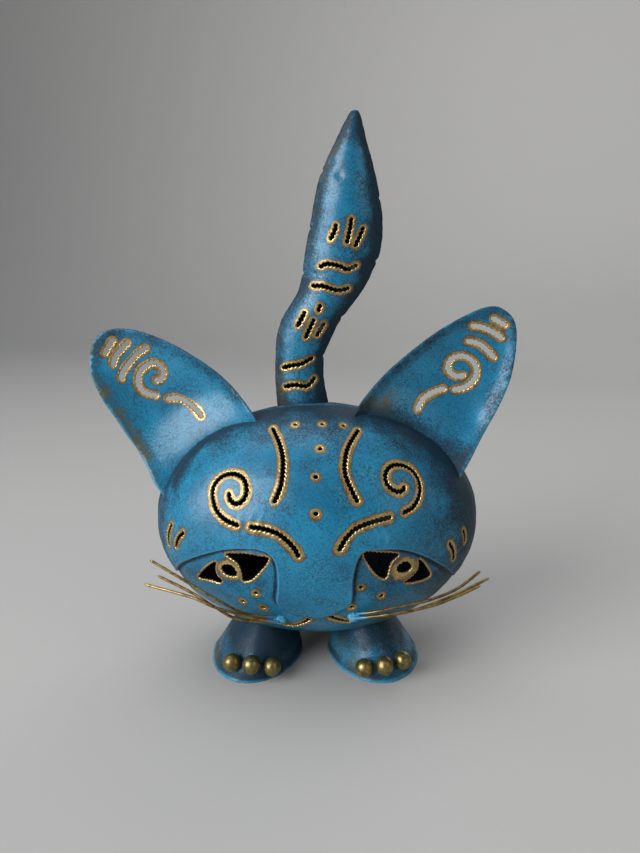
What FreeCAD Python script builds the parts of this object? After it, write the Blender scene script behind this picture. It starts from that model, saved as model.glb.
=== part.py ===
"""Pierced sheet-metal cat figure: a hollow oval body that is also the head, cupped ears, a two-piece tail,
four domed paws with ball toes and wire whiskers.

Millimetres, +Z up, -Y towards the face. The origin is under the middle of the figure's box, on the table.
Every piece is drawn about the body's centre and then placed by body_x, body_y and body_height."""

import FreeCAD, Part
import math
import os
from FreeCAD import Vector

DIMENSIONS = {
    # the body: two half shells that meet on the plane through its centre
    "body_half_width": 80.0,
    "body_half_height": 58.5,
    "face_depth": 48.0,
    "back_depth": 56.0,
    "sheet": 1.0,
    "body_x": 7.0,
    "body_y": -4.0,
    "body_height": 75.0,
    # the eye hollows and muzzle are beaten in below the forehead and nose
    "recess": 2.4,
    "recess_at_rim": 0.4,
    "slot_width": 2.0,
    "slot_depth": 8.0,
    "dot_radius": 1.1,
    # ears
    "ear_dish_radius": 62.0,
    "ear_back": 6.0,
    "ear_reach": 20.0,
    # tail
    "tail_back": 11.0,
    "tail_bulge": 0.44,
    "tail_flange": 2.2,
    # paws: waist and instep are the shares of width and length left half way up, neck and heel those at the
    # top, lean is how far the top stands in towards the middle of the figure
    "front_paw_half_width": 23.4,
    "front_paw_length": 37.5,
    "front_paw_top": 30.0,
    "front_paw_waist": 0.75,
    "front_paw_neck": 0.45,
    "front_paw_instep": 0.855,
    "front_paw_heel": 0.53,
    "front_paw_lean": 7.0,
    "front_paw_spread": 30.0,
    "front_paw_shift": -1.1,
    "front_paw_back": 7.0,
    "front_paw_turn": 7.0,
    "rear_paw_half_width": 18.5,
    "rear_paw_length": 28.0,
    "rear_paw_top": 50.0,
    "rear_paw_waist": 0.86,
    "rear_paw_neck": 0.56,
    "rear_paw_instep": 0.78,
    "rear_paw_heel": 0.46,
    "rear_paw_lean": 0.0,
    "rear_paw_spread": 22.5,
    "rear_paw_shift": 0.0,
    "rear_paw_back": 42.0,
    "rear_paw_turn": 3.0,
    "toe_radius": 4.6,
    "toe_sink": 1.0,
    # whiskers
    "whisker_radius": 0.7,
    "weld_radius": 3.2,
}

# Outlines and ornaments of the face, in millimetres measured over the dome from the middle of the face:
# first across, then up. Left is the viewer's left.
FOREHEAD_EDGE = [
    (-81, -19), (-59, -6.5), (-44, -1), (-31, 1), (-23.5, 0), (-19.5, -4), (-18.5, -11), (-19, -20),
    (-20, -28), (-16.5, -33), (-8, -38), (-0.5, -40), (7, -37.5), (12.5, -33), (17.5, -28), (17.5, -16),
    (18, -8), (20, -2), (23, 0.5), (36, 0.5), (46, -2), (58, -8), (76, -20),
]  # fmt: skip
FACE_SLOTS = {
    "brow_bar_left": [(-26.5, 66), (-19, 50), (-17, 35), (-20.2, 24)],
    "brow_bar_right": [(24.8, 64.5), (15.5, 49), (14.2, 37), (19.3, 24)],
    "brow_left": [(-31.5, 12), (-20, 10.6), (-12.5, 5.6), (-8, -1.5)],
    "brow_right": [(35.5, 16.5), (22, 13.6), (13.8, 8), (9.8, 1.5)],
    "cheek_outer_left": [(-83.5, 7), (-87.5, -1), (-88.5, -8)],
    "cheek_inner_left": [(-72.5, 4.5), (-77.5, -0.5), (-80.5, -6.5)],
    "cheek_outer_right": [(85, 4), (87.5, -1), (88.5, -7)],
    "cheek_inner_right": [(71.5, -1.5), (76, -8), (78, -14)],
    "temple_left": [(-44, 28.2), (-42.3, 24), (-38.6, 22.6), (-35.2, 25), (-34.2, 29.6), (-36.7, 35), (-42.5, 37.4),
                    (-49, 36.2), (-53.3, 32), (-53.6, 26.4), (-50.5, 19.6), (-45, 14.8), (-36.6, 12)],
    "temple_right": [(45, 31.4), (42.5, 28.7), (38.5, 28.9), (35, 32.2), (34.6, 37), (38.4, 41.5), (45, 42.3),
                     (51, 39.3), (54.1, 33.3), (52.8, 26.6), (48, 20.6), (41.4, 17.7)],
    "mouth_left": [(-17, -48), (-10, -47), (-3.5, -42.5)],
    "mouth_right": [(5.5, -41), (10.5, -44.5), (16, -46.5)],
}  # fmt: skip
FACE_DOTS = [
    (-12.7, 67.5), (2.5, 67.5), (15.8, 66.5), (1.8, 51), (-0.4, 36.3), (-0.3, 19),
    (-30.5, -25), (-38.5, -32), (-27.5, -34.5), (21.5, -20.5), (32.5, -27.5), (18, -33),
]  # fmt: skip
EYE_HOLES = {
    "eye_left_inner": [(-46.5, -4.6), (-35, -2.6), (-23.6, -3.4), (-24.6, -8), (-32.5, -17.6), (-36.8, -18.6),
                       (-37.4, -14), (-40, -8.4)],
    "eye_left_outer": [(-53.2, -10.2), (-59.5, -14), (-67, -22.6), (-53, -22.6), (-50.2, -20), (-52.8, -15.5)],
    "eye_left_pupil": [(-48.6, -11.8), (-44.4, -10.8), (-40.6, -14), (-41, -17), (-45.6, -17.4), (-49, -15)],
    "eye_right_inner": [(22.5, -1.6), (31, -1.8), (40.4, -4), (37, -8.4), (35, -15), (30, -14.4), (25.4, -8)],
    "eye_right_outer": [(53.6, -8.6), (59, -13.4), (63.4, -21.4), (52.4, -22.6), (47, -21), (53, -15.4)],
    "eye_right_pupil": [(40.8, -11), (45, -9.2), (48.8, -12.2), (46.6, -15.4), (41.6, -14.6)],
}  # fmt: skip

# Ears, flat in the XZ plane about the body's centre: the outline from the inner root over the tip to the
# outer root, the line of the fold, and the slots.
EARS = {
    "left_ear": {
        "outline": [(-26, 50), (-38, 65), (-54.5, 79), (-73.5, 89.5), (-90, 94.8), (-103, 93.6), (-109.8, 86),
                    (-110, 74), (-99, 51.7), (-88, 35), (-74, 13)],
        "axis": ((-54, 36), (-104, 90)),
        "slots": [
            [(-98.5, 90), (-101.5, 86.5), (-104, 82.5)],
            [(-91.5, 89), (-96, 84.3), (-100, 76.5)],
            [(-82.5, 86.2), (-90.5, 80), (-96, 69.5)],
            [(-80.3, 69.3), (-77, 70.2), (-75.4, 73), (-76.4, 76.4), (-79.1, 78.4), (-82.5, 77.6), (-86, 75),
             (-88, 69.6), (-86.4, 64.6), (-83, 62.4), (-78.8, 61.8)],
            [(-75, 60), (-68.5, 60.3), (-62, 57.5), (-56.5, 52.2)],
        ],
    },
    "right_ear": {
        "outline": [(14, 52), (26, 66.7), (46.4, 85.2), (66.5, 98.5), (80.5, 105), (90, 104), (95.8, 97),
                    (96.3, 84), (91, 62), (79, 40.5), (62, 16)],
        "axis": ((43, 41), (90, 101)),
        "slots": [
            [(84, 100.2), (88, 98.6), (91.6, 96)],
            [(74.3, 96.6), (82, 95), (90.3, 90)],
            [(72.6, 89), (79.5, 87), (87, 80.5)],
            [(72.8, 72.7), (69.3, 71.5), (65.6, 73.3), (64.1, 76.5), (65.6, 80), (69.6, 81.6), (74, 80.6),
             (77.3, 77.5), (78.3, 73.3), (76.4, 69), (72.5, 66), (66.8, 64.6)],
            [(63.5, 65.5), (57.5, 63.6), (52, 60), (49, 55)],
        ],
    },
}  # fmt: skip

# Tail: height above the body's centre, sideways centre and half width of each section, root to tip.
TAIL_SECTIONS = [
    (44, -6.5, 13.6), (58, -7.6, 12.8), (80, -8.4, 12.2), (98, -3.0, 14.2), (118, 8.6, 16.4), (138, 13.6, 17.6),
    (160, 14.4, 14.4), (180, 15.9, 7.8), (195, 17.8, 1.0),
]  # fmt: skip
TAIL_SLOTS = [
    [(9.2, 144), (8.2, 140.5), (6.4, 137)],
    [(16.3, 147), (15.5, 141), (14, 135)],
    [(22, 143), (20.2, 138.3), (18, 133.7)],
    [(1.2, 124), (6, 125.9), (12, 123.6), (19.4, 125.4)],
    [(-2.5, 115.6), (3, 115.4), (10, 113.2), (15.7, 114.6)],
    [(-5.6, 103.4), (-7.8, 99), (-9.6, 96)],
    [(1.7, 107), (0.2, 103.4)],
    [(-1.3, 99.6), (-3.2, 95.5), (-5.4, 91)],
    [(4, 98), (2, 94.4), (0.6, 91.4)],
    [(-17, 75), (-12.5, 76.9), (-7.5, 77.5), (-2, 80.6)],
    [(-16.2, 65.4), (-11, 67.4), (-5.5, 66.8), (-1, 70.5)],
]

# Toes: how far round the paw each ball sits, in degrees from straight ahead and growing to the right, and how
# high above the table it touches. Left to right.
TOES = {
    "front_left_paw": [(-22, 10), (3, 10.8), (28.5, 8.2)],
    "front_right_paw": [(-20.5, 8.6), (4.5, 10.2), (29, 9.8)],
    "rear_left_paw": [(-26, 11), (0, 11), (26, 11)],
    "rear_right_paw": [(-26, 11), (0, 11), (26, 11)],
}

# Whiskers: root, inside the bead of solder, middle and tip of each bent wire, about the body's centre.
WHISKERS = {
    "left_whisker_top": [(-18.6, -34.9, -37.2), (-45.8, -38.6, -27.4), (-78.8, -29, -10.4)],
    "left_whisker_middle": [(-18.2, -36.4, -38.8), (-48.5, -41.8, -28.8), (-81.5, -32, -21.6)],
    "left_whisker_low": [(-18.6, -34.4, -40), (-43.6, -38.9, -33.6), (-75.2, -30, -18)],
    "right_whisker_top": [(18.6, -35.8, -35), (46, -38.4, -28), (77.5, -29.5, -16.3)],
    "right_whisker_middle": [(18.2, -37.4, -36.6), (50, -41.4, -29.4), (76.9, -35, -21.2)],
    "right_whisker_low": [(18.6, -35.3, -38), (47.2, -38.6, -32.2), (81.3, -31.5, -19.1)],
}
WHISKER_WELDS = {"left_whisker_weld": (-17.5, -33.4, -38.6), "right_whisker_weld": (17.5, -34.6, -36.4)}

doc = FreeCAD.newDocument("cat_figure")
sheet = doc.addObject("Spreadsheet::Sheet", "dims")
for row, (alias, value) in enumerate(DIMENSIONS.items(), start=1):
    sheet.set(f"A{row}", alias)
    sheet.set(f"B{row}", str(value))
    sheet.setAlias(f"B{row}", alias)
doc.recompute()


def dim(alias):
    """A driving dimension, read from the sheet."""
    return float(sheet.get(alias))


# ---------------------------------------------------------------- document helpers


def bound(kind, name, **expressions):
    """A document object whose properties are bound to the sheet. A double underscore stands for a dot."""
    made = doc.addObject(kind, name)
    for prop, expression in expressions.items():
        made.setExpression(prop.replace("__", "."), expression)
    return made


def ellipsoid(name, half_width, half_depth, half_height):
    solid = bound("Part::Ellipsoid", name, Radius1=half_height, Radius2=half_width, Radius3=half_depth)
    solid.Angle1, solid.Angle2, solid.Angle3 = -90, 90, 360
    return solid


def combined(kind, name, base, tool):
    """A Part::Cut, Part::Common or Part::Fuse of two document objects."""
    made = doc.addObject(kind, name)
    made.Base, made.Tool = base, tool
    return made


def fitted(name, blank, envelope):
    """The blank cut back to the outside of the body, front half and rear half."""
    front_half, rear_half = envelope
    return combined("Part::Cut", name, combined("Part::Cut", f"{name}_trim", blank, front_half), rear_half)


def shaped(name, shape):
    """A document object holding a shape worked out here from the sheet's dimensions."""
    made = doc.addObject("Part::Feature", name)
    made.Shape = shape
    return made


# ---------------------------------------------------------------- outlines


def smooth_edge(points):
    curve = Part.BSplineCurve()
    curve.interpolate(points)
    return curve.toShape()


def slot_face(centre_line, width, normal):
    """A round-ended slot of one width along a smooth line that lies in the plane across normal."""
    curve = Part.BSplineCurve()
    curve.interpolate(centre_line)
    first, last = curve.FirstParameter, curve.LastParameter
    steps = 4 * len(centre_line)
    left, right = [], []
    for i in range(steps + 1):
        at = first + (last - first) * i / steps
        side = normal.cross(curve.tangent(at)[0]).normalize() * (width / 2)
        left.append(curve.value(at) + side)
        right.append(curve.value(at) - side)
    nose = curve.value(last) + curve.tangent(last)[0].normalize() * (width / 2)
    tail = curve.value(first) - curve.tangent(first)[0].normalize() * (width / 2)
    edges = [
        smooth_edge(left),
        Part.Arc(left[-1], nose, right[-1]).toShape(),
        smooth_edge(right[::-1]),
        Part.Arc(right[0], tail, left[0]).toShape(),
    ]
    return Part.Face(Part.Wire(edges))


def prism(face, normal, depth):
    """The face swept depth both ways along normal."""
    start = face.copy()
    start.translate(normal * -depth)
    return start.extrude(normal * (2 * depth))


# ---------------------------------------------------------------- the body's dome


def on_dome(across, up):
    """The point of the face dome reached by going that far over it from the middle, and its outward normal."""
    wide, deep, high = dim("body_half_width"), dim("face_depth"), dim("body_half_height")
    turn_x, turn_z = across / wide, up / high
    polar = math.hypot(turn_x, turn_z)
    reach = math.sin(polar) / polar if polar > 1e-9 else 1.0
    unit = Vector(turn_x * reach, -math.cos(polar), turn_z * reach)
    point = Vector(unit.x * wide, unit.y * deep, unit.z * high)
    return point, Vector(unit.x / wide, unit.y / deep, unit.z / high).normalize()


def flat_on_dome(outline):
    """The outline's points laid flat across the dome's normal at its middle, and that normal."""
    places = [on_dome(*point)[0] for point in outline]
    middle_across = sum(point[0] for point in outline) / len(outline)
    middle_up = sum(point[1] for point in outline) / len(outline)
    middle, normal = on_dome(middle_across, middle_up)
    return [place - normal * (place - middle).dot(normal) for place in places], normal


def face_piercings():
    """One prism for each slot, scroll, dot and eye hole of the face."""
    width, depth = dim("slot_width"), dim("slot_depth")
    cutters = []
    for line in FACE_SLOTS.values():
        flat, normal = flat_on_dome(line)
        cutters.append(prism(slot_face(flat, width, normal), normal, depth))
    for dot in FACE_DOTS:
        place, normal = on_dome(*dot)
        cutters.append(Part.makeCylinder(dim("dot_radius"), 2 * depth, place - normal * depth, normal))
    for outline in EYE_HOLES.values():
        flat, normal = flat_on_dome(outline)
        cutters.append(prism(Part.Face(Part.makePolygon(flat + flat[:1])), normal, depth))
    return cutters


def forehead_prisms():
    """What lies in front of the forehead and nose, for the outside, and one sheet smaller, for the inside."""
    clear = dim("body_half_width") + 20
    edge = [on_dome(*point)[0] for point in FOREHEAD_EDGE]
    corners = [Vector(place.x, 0, place.z) for place in edge]
    corners += [Vector(clear, 0, corners[-1].z), Vector(clear, 0, clear), Vector(-clear, 0, clear)]
    corners += [Vector(-clear, 0, corners[0].z)]
    inner = []
    for before, corner, after in zip(corners[-1:] + corners, corners, corners[1:] + corners[:1]):
        heading = ((corner - before).normalize() + (after - corner).normalize()).normalize()
        inner.append(corner + Vector(-heading.z, 0, heading.x) * dim("sheet"))
    along = Vector(0, 1, 0)
    return [prism(Part.Face(Part.makePolygon(ring + ring[:1])), along, clear) for ring in (corners, inner)]


def make_body():
    """The face shell, the back shell and the solid envelope of each."""
    outer_prism, inner_prism = (
        shaped(name, solid) for name, solid in zip(("forehead_outside", "forehead_inside"), forehead_prisms())
    )
    wide, high, front = "dims.body_half_width", "dims.body_half_height", "dims.face_depth"
    thick, rim, sunk = "dims.sheet", "dims.recess_at_rim", "dims.recess"
    high_outside = ellipsoid("forehead_dome", wide, front, high)
    low_outside = ellipsoid("muzzle_dome", f"{wide} - {rim}", f"{front} - {sunk}", f"{high} - {rim}")
    high_inside = ellipsoid("forehead_hollow", f"{wide} - {thick}", f"{front} - {thick}", f"{high} - {thick}")
    low_inside = ellipsoid(
        "muzzle_hollow", f"{wide} - {rim} - {thick}", f"{front} - {sunk} - {thick}", f"{high} - {rim} - {thick}"
    )
    raised = combined("Part::Common", "forehead_part", high_outside, outer_prism)
    raised_hollow = combined("Part::Common", "forehead_cavity", high_inside, inner_prism)
    solid = combined("Part::Fuse", "face_solid", low_outside, raised)
    cavity = combined("Part::Fuse", "face_cavity", low_inside, raised_hollow)

    size = "2 * dims.body_half_width + 20"
    half = "-dims.body_half_width - 10"
    before = bound("Part::Box", "space_before", Length=size, Width=size, Height=size)
    before.setExpression("Placement.Base.x", half)
    before.setExpression("Placement.Base.y", "-2 * dims.body_half_width - 20")
    before.setExpression("Placement.Base.z", half)
    behind = bound("Part::Box", "space_behind", Length=size, Width=size, Height=size)
    behind.setExpression("Placement.Base.x", half)
    behind.setExpression("Placement.Base.z", half)

    hollow = combined("Part::Cut", "face_hollow", solid, cavity)
    blank = combined("Part::Common", "face_blank", hollow, before)
    piercings = shaped("face_piercings", Part.makeCompound(face_piercings()))
    face_shell = combined("Part::Cut", "face_shell", blank, piercings)

    back_outside = ellipsoid("back_dome", wide, "dims.back_depth", high)
    back_inside = ellipsoid("back_hollow", f"{wide} - {thick}", f"dims.back_depth - {thick}", f"{high} - {thick}")
    back_skin = combined("Part::Cut", "back_skin", back_outside, back_inside)
    back_shell = combined("Part::Common", "back_shell", back_skin, behind)

    front_half = combined("Part::Common", "front_envelope", solid, before)
    rear_half = combined("Part::Common", "rear_envelope", back_outside, behind)
    return face_shell, back_shell, (front_half, rear_half)


# ---------------------------------------------------------------- ears


def make_ear(name, plan, envelope):
    """A flat outline cut from a dished sheet, pierced, and trimmed to stand on the body's rim."""
    along = Vector(0, 1, 0)
    reach = dim("ear_reach")
    corners = [Vector(x, 0, z) for x, z in plan["outline"]]
    root = Vector(0, 0, 0)
    rim = smooth_edge(corners)
    sides = [Part.LineSegment(corners[-1], root).toShape(), Part.LineSegment(root, corners[0]).toShape()]
    blank = prism(Part.Face(Part.Wire([rim] + sides)), along, reach)
    root_x, root_z = plan["axis"][0]
    tip_x, tip_z = plan["axis"][1]
    fold = Vector(tip_x - root_x, 0, tip_z - root_z).normalize()
    length = 4 * dim("ear_dish_radius")
    start = Vector(root_x, dim("ear_back") - dim("ear_dish_radius"), root_z) - fold * (length / 2)
    outer = Part.makeCylinder(dim("ear_dish_radius") + dim("sheet"), length, start, fold)
    inner = Part.makeCylinder(dim("ear_dish_radius"), length, start, fold)
    sheet_metal = outer.cut(inner).common(blank)
    cutters = []
    for line in plan["slots"]:
        flat = [Vector(x, 0, z) for x, z in line]
        cutters.append(prism(slot_face(flat, dim("slot_width"), along), along, 2 * reach))
    pierced = shaped(f"{name}_sheet", sheet_metal.cut(cutters))
    return fitted(name, pierced, envelope)


# ---------------------------------------------------------------- tail


def tail_section(height, centre, half_width, bulge):
    """A pointed oval across the tail: two arcs that meet at its side seams."""
    left = Vector(centre - half_width, dim("tail_back"), height)
    right = Vector(centre + half_width, dim("tail_back"), height)
    front = Vector(centre, dim("tail_back") - bulge, height)
    back = Vector(centre, dim("tail_back") + bulge, height)
    return Part.Wire([Part.Arc(left, front, right).toShape(), Part.Arc(right, back, left).toShape()])


def make_tail(envelope):
    """The tail's front and back pressings, which meet along the side seams."""
    outside, inside = [], []
    for height, centre, half_width in TAIL_SECTIONS:
        bulge = half_width * dim("tail_bulge")
        outside.append(tail_section(height, centre, half_width, bulge))
        if half_width > 2 * dim("tail_flange"):
            hollow_width = half_width - dim("tail_flange")
            inside.append(tail_section(height, centre, hollow_width, bulge - dim("sheet")))
    inside[0].translate(Vector(0, 0, -1))
    skin = Part.makeLoft(outside, True).cut(Part.makeLoft(inside, True))
    tall, wide = TAIL_SECTIONS[-1][0] + 10, dim("body_half_width")
    space = Part.makeBox(2 * wide, wide, tall, Vector(-wide, dim("tail_back") - wide, 0))
    cutters = [
        prism(slot_face([Vector(x, dim("tail_back") - wide / 2, z) for x, z in line], dim("slot_width"), Vector(0, 1, 0)),
              Vector(0, 1, 0), wide / 2)
        for line in TAIL_SLOTS
    ]  # fmt: skip
    front = shaped("tail_front_sheet", skin.common(space).cut(cutters))
    back = shaped("tail_back_sheet", skin.cut(space))
    return [fitted("tail_front_half", front, envelope), fitted("tail_back_half", back, envelope)]


# ---------------------------------------------------------------- paws and toes


def paw_level(pair, side, share):
    """Sideways centre, half width and length of a paw at a share of its height, on curves through three levels."""

    def between(half_way, top):
        bend = 2 * (1 + top - 2 * half_way)
        return 1 + (top - 1 - bend) * share + bend * share**2

    half = dim(f"{pair}_paw_half_width") * between(dim(f"{pair}_paw_waist"), dim(f"{pair}_paw_neck"))
    reach = dim(f"{pair}_paw_length") * between(dim(f"{pair}_paw_instep"), dim(f"{pair}_paw_heel"))
    return -side * dim(f"{pair}_paw_lean") * share, half, reach


def paw_solid(pair, side, inset):
    """A domed block with a rounded front and a flat back, lofted through three heights."""
    wires = []
    for share in (0, 0.5, 1):
        middle, half, reach = paw_level(pair, side, share)
        level = share * dim(f"{pair}_paw_top")
        angles = [math.pi * i / 12 for i in range(13)]
        points = [
            Vector(middle - (half - inset) * math.cos(angle), -(reach - inset) * math.sin(angle), level)
            for angle in angles
        ]
        wires.append(Part.Wire([smooth_edge(points), Part.LineSegment(points[-1], points[0]).toShape()]))
    return Part.makeLoft(wires, True)


def make_paw(pair, side, envelope):
    """A domed paw, open underneath and behind, trimmed to the belly, with its three toe balls."""
    name = f"{pair}_{'left' if side < 0 else 'right'}_paw"
    outside, inside = paw_solid(pair, side, 0), paw_solid(pair, side, dim("sheet"))
    inside.translate(Vector(0, 0, -0.01))
    behind = inside.copy()
    behind.translate(Vector(0, 3 * dim("sheet"), 0))
    toes = []
    radius = dim("toe_radius")
    flat = math.degrees(math.asin(1 - dim("toe_sink") / radius))
    for turned, level in TOES[name]:
        middle, half, reach = paw_level(pair, side, level / dim(f"{pair}_paw_top"))
        angle = math.radians(turned)
        place = Vector(middle + (half + radius) * math.sin(angle), -(reach + radius) * math.cos(angle), level)
        foot = Part.Vertex(place).distToShape(outside)[1][0][1]
        out = (place - foot).normalize()
        toes.append(Part.makeSphere(radius, foot + out * (radius - dim("toe_sink")), out, -flat, 90, 360))
    pose = FreeCAD.Matrix()
    pose.rotateZ(math.radians(side * dim(f"{pair}_paw_turn")))
    across = side * dim(f"{pair}_paw_spread") + dim(f"{pair}_paw_shift")
    pose.move(Vector(across, dim(f"{pair}_paw_back"), -dim("body_height")))
    shell = outside.cut(inside).cut(behind)
    for shape in [shell] + toes:
        shape.transformShape(pose, True)
    labels = ("outer", "middle", "inner") if side < 0 else ("inner", "middle", "outer")
    made = [fitted(name, shaped(f"{name}_sheet", shell), envelope)]
    return made + [shaped(f"{name}_{label}_toe", toe) for label, toe in zip(labels, toes)]


# ---------------------------------------------------------------- whiskers


def make_whiskers(envelope):
    """Six bent wires, and on each side of the muzzle the bead of solder that three of them run into."""
    wires = {}
    for name, points in WHISKERS.items():
        bend = Part.Arc(*[Vector(*point) for point in points]).toShape().Curve
        root, tip = Vector(*points[0]), Vector(*points[-1])
        start = bend.tangent(bend.parameter(root))[0]
        section = Part.Face(Part.Wire(Part.Circle(root, start, dim("whisker_radius")).toShape()))
        turn = math.degrees((root - bend.Center).getAngle(tip - bend.Center))
        wires[name] = section.revolve(bend.Center, bend.Axis, turn)
    made = []
    for name, place in WHISKER_WELDS.items():
        side = name.split("_")[0]
        bead = Part.makeSphere(dim("weld_radius"), Vector(*place))
        bead = bead.cut([wire for label, wire in wires.items() if label.startswith(side)])
        made.append(fitted(name, shaped(f"{name}_bead", bead), envelope))
    return made + [shaped(name, wire) for name, wire in wires.items()]


# ---------------------------------------------------------------- assembly


def build():
    face_shell, back_shell, envelope = make_body()
    parts = [face_shell, back_shell]
    doc.recompute()
    parts += [make_ear(name, plan, envelope) for name, plan in EARS.items()]
    parts += make_tail(envelope)
    for pair in ("front", "rear"):
        for side in (-1, 1):
            parts += make_paw(pair, side, envelope)
    parts += make_whiskers(envelope)
    doc.recompute()
    for part in parts:
        part.Label = part.Name
        part.setExpression("Placement.Base.x", "dims.body_x")
        part.setExpression("Placement.Base.y", "dims.body_y")
        part.setExpression("Placement.Base.z", "dims.body_height")
    doc.recompute()
    return parts


def write(parts):
    """Checks every object, then writes each sub-part's STEP file."""
    for item in doc.Objects:
        if "Invalid" in item.State or "Error" in item.State:
            raise RuntimeError(f"{item.Name} failed: {item.State}")
    for part in parts:
        if part.Shape.isNull() or not part.Shape.isValid() or not part.Shape.Solids:
            raise RuntimeError(f"{part.Label} has no valid solid")
    os.makedirs("parts", exist_ok=True)
    for part in parts:
        part.Shape.exportStep(f"parts/{part.Label}.step")
        box = part.Shape.optimalBoundingBox(False)
        print(part.Label, len(part.Shape.Solids), round(part.Shape.Volume, 1),
              [round(v, 1) for v in (box.XMin, box.XMax, box.YMin, box.YMax, box.ZMin, box.ZMax)])  # fmt: skip


write(build())
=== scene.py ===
"""Looks of a pierced, painted sheet metal cat: chiselled slots edged in gold paint, sponged blue patina,
cupped ears, a welded tail, domed paws with ball toes and drawn wire whiskers.

Shapes are worked out in millimetres about the middle of the body and turned into metres at the end.
x is to the right, -y towards the face and z up."""

import math

import bpy
import numpy as np
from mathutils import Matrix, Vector, kdtree, noise
from mathutils.geometry import delaunay_2d_cdt


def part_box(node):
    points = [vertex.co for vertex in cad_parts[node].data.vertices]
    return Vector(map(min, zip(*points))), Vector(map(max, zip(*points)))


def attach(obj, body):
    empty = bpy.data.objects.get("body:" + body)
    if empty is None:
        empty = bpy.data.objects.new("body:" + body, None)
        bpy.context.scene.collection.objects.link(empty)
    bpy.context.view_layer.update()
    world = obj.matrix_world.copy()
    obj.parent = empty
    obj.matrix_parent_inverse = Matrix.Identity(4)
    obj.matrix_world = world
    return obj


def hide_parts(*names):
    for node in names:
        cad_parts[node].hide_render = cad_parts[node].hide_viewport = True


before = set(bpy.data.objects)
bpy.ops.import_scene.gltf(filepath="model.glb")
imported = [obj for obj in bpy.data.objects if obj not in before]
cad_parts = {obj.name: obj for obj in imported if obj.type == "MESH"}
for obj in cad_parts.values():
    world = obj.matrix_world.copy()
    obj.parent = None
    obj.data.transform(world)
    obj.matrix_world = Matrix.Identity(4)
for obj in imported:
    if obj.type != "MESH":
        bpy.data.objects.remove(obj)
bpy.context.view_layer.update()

# ---------------------------------------------------------------- sizes, from the CAD frame


def box_mm(node):
    low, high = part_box(node)
    return np.array(low) * 1000, np.array(high) * 1000


FACE_LOW, FACE_HIGH = box_mm("face_shell")
BACK_LOW, BACK_HIGH = box_mm("back_shell")
CENTRE = np.array([(FACE_LOW[0] + FACE_HIGH[0]) / 2, FACE_HIGH[1], (BACK_LOW[2] + BACK_HIGH[2]) / 2])
WIDE = (FACE_HIGH[0] - FACE_LOW[0]) / 2
HIGH = (BACK_HIGH[2] - BACK_LOW[2]) / 2
FRONT = FACE_HIGH[1] - FACE_LOW[1]
REAR = BACK_HIGH[1] - BACK_LOW[1]
SHEET = 0.95
FACE_SLOT_WIDTH = 2.1
EAR_SLOT_WIDTH = 2.3
TAIL_SLOT_WIDTH = 1.75
FACE_GOLD_WIDTH = 2.05
EYE_GOLD_WIDTH = 1.15
PUPIL_GOLD_WIDTHS = (2.5, 3.7)
SHEET_GOLD_WIDTH = 1.55
NO_GOLD = 9.0
EAR_DISH_RADIUS = 62.0
EAR_BACK = 6
EAR_ROOT_CURL = 9
TAIL_BACK = 11
WHISKER_RADIUS = 0.68
WELD_RADIUS = 3.0
# A sheet welded to the body runs in to this level of the body's surface, which is at 1.
ROOT_LEVEL = 0.985

rng = np.random.default_rng(11)

# ---------------------------------------------------------------- drawn shapes
# Face: millimetres over the dome from its middle, across and up. Ears and tail: x and z.

FOREHEAD_EDGE = [
    (-92, -30), (-81, -19), (-70, -12), (-59, -6.5), (-44, -1), (-31, 1), (-23.5, 0), (-19.6, -4.2),
    (-18.4, -11), (-18.8, -20), (-19.8, -28), (-16.6, -33.2), (-8, -38), (-0.5, -40), (6.5, -37.6),
    (12.2, -33), (17, -28), (17, -16), (17.8, -8), (19.8, -2), (23, 0.6), (36, 0.4), (46, -2.2),
    (58, -8.2), (74, -19.5), (88, -32),
]  # fmt: skip
FACE_SLOTS = [
    [(-26.6, 66.2), (-20.4, 55), (-17.1, 45), (-16.7, 34.5), (-18.2, 28), (-20.2, 23.6)],
    [(24.8, 64.6), (16.8, 52.5), (14, 42.8), (14.3, 36), (17, 28.8), (19.4, 23.8)],
    [(-31.6, 12), (-24.7, 11.6), (-17.5, 9.5), (-12.5, 5.6), (-9.6, 2.1), (-8, -1.6)],
    [(35.6, 16.6), (27.3, 15), (18.9, 12.4), (13.8, 8.1), (9.8, 1.5)],
    [(-83.5, 7.2), (-87.8, -1), (-88.8, -8.5)],
    [(-71.4, 4.6), (-76.8, -0.3), (-80.4, -6.8)],
    [(85, 3.4), (87.6, -1), (88.4, -6)],
    [(71.4, -1.4), (76.2, -8), (78, -14.6)],
    [(-44, 28.2), (-42.3, 24), (-38.6, 22.6), (-35.2, 25), (-34.2, 29.6), (-36.7, 35), (-42.5, 37.4),
     (-49, 36.2), (-53.3, 32), (-53.6, 26.4), (-50.5, 19.6), (-45, 14.8), (-36.6, 12)],
    [(45, 31.4), (42.5, 28.7), (38.5, 28.9), (35, 32.2), (34.6, 37), (38.4, 41.5), (45, 42.3),
     (51, 39.3), (54.1, 33.3), (52.8, 26.6), (48, 20.6), (41.4, 17.7)],
    [(-18.6, -51), (-12.4, -49.8), (-7, -45.2), (-3.7, -41.1)],
    [(6.2, -39.5), (10, -42), (13.8, -44.2), (18.6, -46.8)],
]  # fmt: skip
FACE_DOTS = [
    (-12.7, 67.5), (3.3, 67.4), (15.9, 66.8), (1.8, 51), (-0.4, 36.3), (-0.3, 19), (-30.6, -25.2),
    (-38.9, -32.9), (-27.8, -35.2), (21.5, -20.3), (32.8, -27.3), (17.8, -33.6),
]  # fmt: skip
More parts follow.
